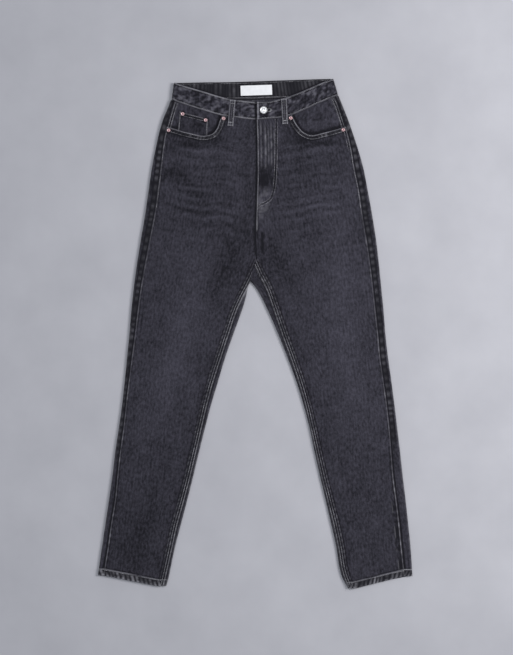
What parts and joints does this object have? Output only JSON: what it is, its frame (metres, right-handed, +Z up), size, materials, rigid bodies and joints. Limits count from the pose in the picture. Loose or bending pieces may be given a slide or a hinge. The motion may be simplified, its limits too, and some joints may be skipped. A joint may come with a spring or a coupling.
{
  "type": "mom jeans",
  "caption": "High-waisted tapered denim trousers laid flat, front up, with a buttoned fly front, belt loops, riveted hip pockets and back patch pockets.",
  "frame": {"origin": "middle of the outline on the surface that the jeans lie on", "axes": "+Y to the waist, +X to the wearer's left, +Z up through the front"},
  "size_m": [0.6608, 1.071, 0.0119],
  "materials": {
    "denim": "washed black twill",
    "label_cloth": "plain white satin, bare",
    "zip_tape": "woven tape",
    "silver_metal": "satin nickel",
    "copper_metal": "polished copper"
  },
  "bodies": {
    "root": {"front_panel_right": "denim", "back_panel_right": "denim", "yoke_right": "denim", "pocket_facing_right": "denim", "back_pocket_right": "denim", "front_panel_left": "denim", "back_panel_left": "denim", "yoke_left": "denim", "pocket_facing_left": "denim", "back_pocket_left": "denim", "waistband": "denim", "coin_pocket": "denim", "belt_loop_front_right": "denim", "belt_loop_front_left": "denim", "belt_loop_back_right": "denim", "belt_loop_back_centre": "denim", "belt_loop_back_left": "denim", "label": "label_cloth", "fly_zip": "zip_tape", "button": "silver_metal", "rivet_1": "copper_metal", "rivet_2": "copper_metal", "rivet_3": "copper_metal", "rivet_4": "copper_metal", "rivet_5": "copper_metal", "rivet_6": "copper_metal"}
  },
  "joints": []
}
